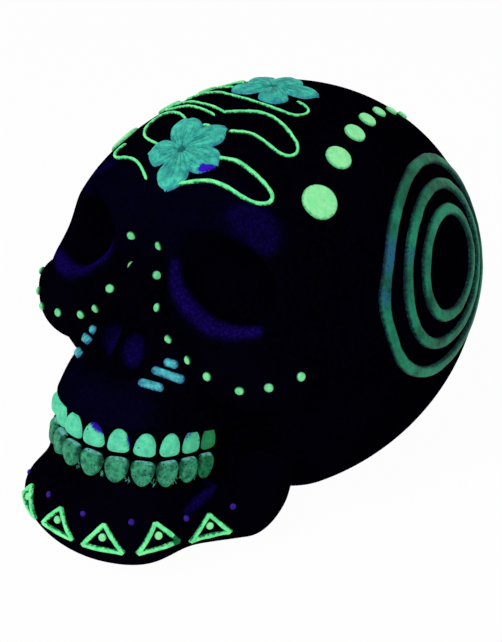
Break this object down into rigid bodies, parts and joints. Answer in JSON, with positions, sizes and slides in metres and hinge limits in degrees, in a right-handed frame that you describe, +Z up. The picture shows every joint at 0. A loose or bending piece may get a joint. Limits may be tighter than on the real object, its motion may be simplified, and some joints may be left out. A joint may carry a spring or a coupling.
{
  "type": "sugar skull",
  "caption": "Dark cast skull with a closed jaw and glowing relief: flowers, scrolls, concentric rings, dots, cheek dashes, toothed bite and jaw triangles.",
  "frame": {"origin": "centre of the box round the skull, at the level it rests on", "axes": "+X to the skull's left, -Y the way it faces, +Z up"},
  "size_m": [0.1158, 0.1606, 0.1162],
  "materials": {
    "resin": "satin near-black resin with an indigo sheen",
    "tooth_paint": "satin fluorescent mint paint",
    "dim_tooth_paint": "satin fluorescent green paint",
    "petal_paint": "satin fluorescent teal paint",
    "line_paint": "satin fluorescent green paint",
    "ring_paint": "satin deep green paint",
    "dot_paint": "satin fluorescent pale green paint",
    "dash_paint": "satin fluorescent blue-green paint"
  },
  "bodies": {
    "root": {"cranium": "resin", "mandible": "resin", "upper_teeth": "tooth_paint", "lower_teeth": "dim_tooth_paint", "front_flower": "petal_paint", "crown_flower": "petal_paint", "left_front_scroll": "line_paint", "left_middle_scroll": "line_paint", "crown_scroll": "line_paint", "left_petal_scroll": "line_paint", "right_front_scroll": "line_paint", "right_middle_scroll": "line_paint", "right_rear_scroll": "line_paint", "right_crown_scroll": "line_paint", "chin_triangle": "line_paint", "chin_dot": "dot_paint", "left_jaw_1_triangle": "line_paint", "left_jaw_1_dot": "dot_paint", "left_jaw_2_triangle": "line_paint", "left_jaw_2_dot": "dot_paint", "left_jaw_3_triangle": "line_paint", "left_jaw_3_dot": "dot_paint", "right_jaw_1_triangle": "line_paint", "right_jaw_1_dot": "dot_paint", "right_jaw_2_triangle": "line_paint", "right_jaw_2_dot": "dot_paint", "right_jaw_3_triangle": "line_paint", "right_jaw_3_dot": "dot_paint", "left_inner_ring": "ring_paint", "left_middle_ring": "ring_paint", "left_outer_ring": "ring_paint", "left_temple_dot_1": "dot_paint", "left_temple_dot_2": "dot_paint", "left_temple_dot_3": "dot_paint", "left_temple_dot_4": "dot_paint", "left_temple_dot_5": "dot_paint", "left_temple_dot_6": "dot_paint", "left_temple_dot_7": "dot_paint", "left_cheek_dash_1": "dash_paint", "left_cheek_dash_2": "dash_paint", "left_cheek_dash_3": "dash_paint", "right_inner_ring": "ring_paint", "right_middle_ring": "ring_paint", "right_outer_ring": "ring_paint", "right_temple_dot_1": "dot_paint", "right_temple_dot_2": "dot_paint", "right_temple_dot_3": "dot_paint", "right_temple_dot_4": "dot_paint", "right_temple_dot_5": "dot_paint", "right_temple_dot_6": "dot_paint", "right_temple_dot_7": "dot_paint", "right_cheek_dash_1": "dash_paint", "right_cheek_dash_2": "dash_paint", "right_cheek_dash_3": "dash_paint"}
  },
  "joints": []
}
